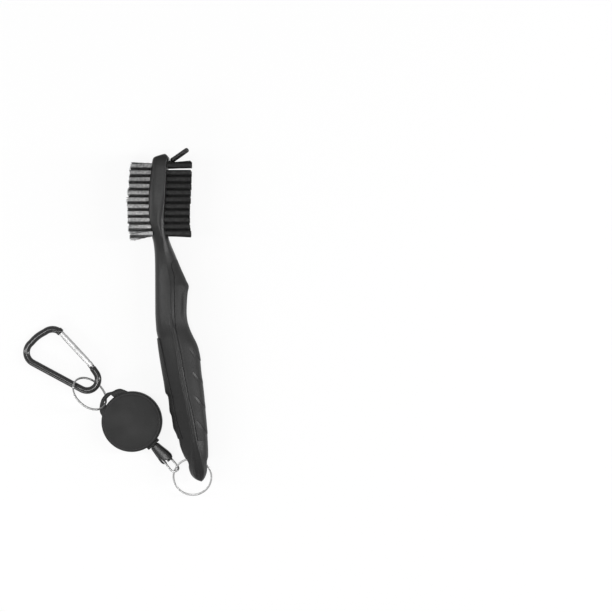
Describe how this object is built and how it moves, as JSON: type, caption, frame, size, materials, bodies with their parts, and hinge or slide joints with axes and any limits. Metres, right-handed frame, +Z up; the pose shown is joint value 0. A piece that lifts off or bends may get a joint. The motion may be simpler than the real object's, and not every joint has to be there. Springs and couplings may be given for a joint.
{
  "type": "golf club groove brush",
  "caption": "Golf club groove cleaning brush with wire and nylon bristle faces, a capped groove spike, a retractable cord reel, split rings and a carabiner clip.",
  "frame": {"origin": "centre of the whole object's outline on the surface it lies on", "axes": "+Y along the brush towards its head, +X from the wire bristles to the nylon bristles, +Z up out of the surface"},
  "size_m": [0.1106, 0.2022, 0.0221],
  "materials": {
    "handle_plastic": "satin moulded polypropylene with a fine texture",
    "grip_rubber": "matte over-moulded soft grip",
    "bristle_wire": "crimped fine wire, dull grey",
    "bristle_nylon": "black nylon filaments",
    "anchor_wire": "flat anchor wire",
    "spike_steel": "ground point",
    "cap_rubber": "smooth black",
    "ring_steel": "nickel plated spring steel",
    "connector_plastic": "black moulded",
    "reel_plastic": "fine matte black",
    "spool_plastic": "natural acetal",
    "cord": "braided nylon cord",
    "brass_trim": "turned",
    "screw_steel": "zinc plated",
    "spring_steel": "blue spring steel",
    "clip_black": "black anodised, glossy",
    "gate_silver": "bright plain aluminium"
  },
  "bodies": {
    "brush": {"handle_core": "handle_plastic", "thumb_grip": "grip_rubber", "finger_grip": "grip_rubber", "wire_tufts": "bristle_wire", "wire_corner_tufts": "bristle_wire", "wire_tuft_anchors": "anchor_wire", "nylon_tufts": "bristle_nylon", "nylon_corner_tufts": "bristle_nylon", "nylon_tuft_anchors": "anchor_wire", "groove_spike": "spike_steel"},
    "cap": {"spike_cap": "cap_rubber"},
    "handle_ring": {"handle_ring": "ring_steel"},
    "link": {"oval_link": "ring_steel"},
    "connector": {"cord_connector": "connector_plastic", "connector_pin": "ring_steel", "cord_crimp": "brass_trim", "cord_lead": "cord"},
    "reel": {"reel_back_case": "reel_plastic", "reel_front_cover": "reel_plastic", "axle_screw": "screw_steel", "mainspring": "spring_steel", "mouth_bush": "connector_plastic"},
    "spool": {"cord_spool": "spool_plastic", "wound_cord": "cord"},
    "reel_ring": {"reel_ring": "ring_steel"},
    "carabiner": {"carabiner_body": "clip_black", "gate_rivet": "gate_silver"},
    "gate": {"carabiner_gate": "gate_silver", "gate_plunger": "gate_silver", "gate_spring": "spring_steel"}
  },
  "joints": [
    {"name": "cap_pull", "type": "slide", "parent": "brush", "child": "cap", "axis": [0.8192, 0.5736, 0], "range_m": [0, 0.013]},
    {"name": "ring_swing", "type": "hinge", "parent": "brush", "child": "handle_ring", "pos_m": [0.04375, -0.0811, 0.01104], "axis": [1, 0, 0], "range_deg": [-30, 60]},
    {"name": "link_travel", "type": "hinge", "parent": "handle_ring", "child": "link", "pos_m": [0.04375, -0.08983, 0.00887], "axis": [0, -0.2419, 0.9703], "range_deg": [0, 80]},
    {"name": "connector_swing", "type": "hinge", "parent": "link", "child": "connector", "pos_m": [0.02751, -0.07845, 0.00424], "axis": [0.0044, -0.6392, -0.769], "range_deg": [0, 15]},
    {"name": "cord_pull", "type": "slide", "parent": "connector", "child": "reel", "axis": [-0.682, 0.7314, 0], "range_m": [0, 0.6], "stiffness_N_per_m": 2, "springref_m": -0.3},
    {"name": "spool_turn", "type": "hinge", "parent": "reel", "child": "spool", "pos_m": [0.00835, -0.0579, 0.00404], "axis": [0, 0, 1], "range_deg": [0, 2907]},
    {"name": "reel_ring_swing", "type": "hinge", "parent": "reel", "child": "reel_ring", "pos_m": [-0.00891, -0.04442, 0.00534], "axis": [-0.6156, -0.7881, 0], "range_deg": [-8, 30]},
    {"name": "carabiner_swing", "type": "hinge", "parent": "reel_ring", "child": "carabiner", "pos_m": [-0.01194, -0.03583, 0.00387], "axis": [-0.7667, 0.6347, 0.0966], "range_deg": [-20, 20]},
    {"name": "gate_open", "type": "hinge", "parent": "carabiner", "child": "gate", "pos_m": [-0.01642, -0.02424, 0.00353], "axis": [-0.0324, 0.0172, 0.9993], "range_deg": [0, 28], "stiffness_Nm_per_rad": 0.004, "springref_deg": -17.19}
  ],
  "couplings": [
    {"joint": "spool_turn", "follows": "cord_pull", "rad_per_m": 84.388}
  ]
}
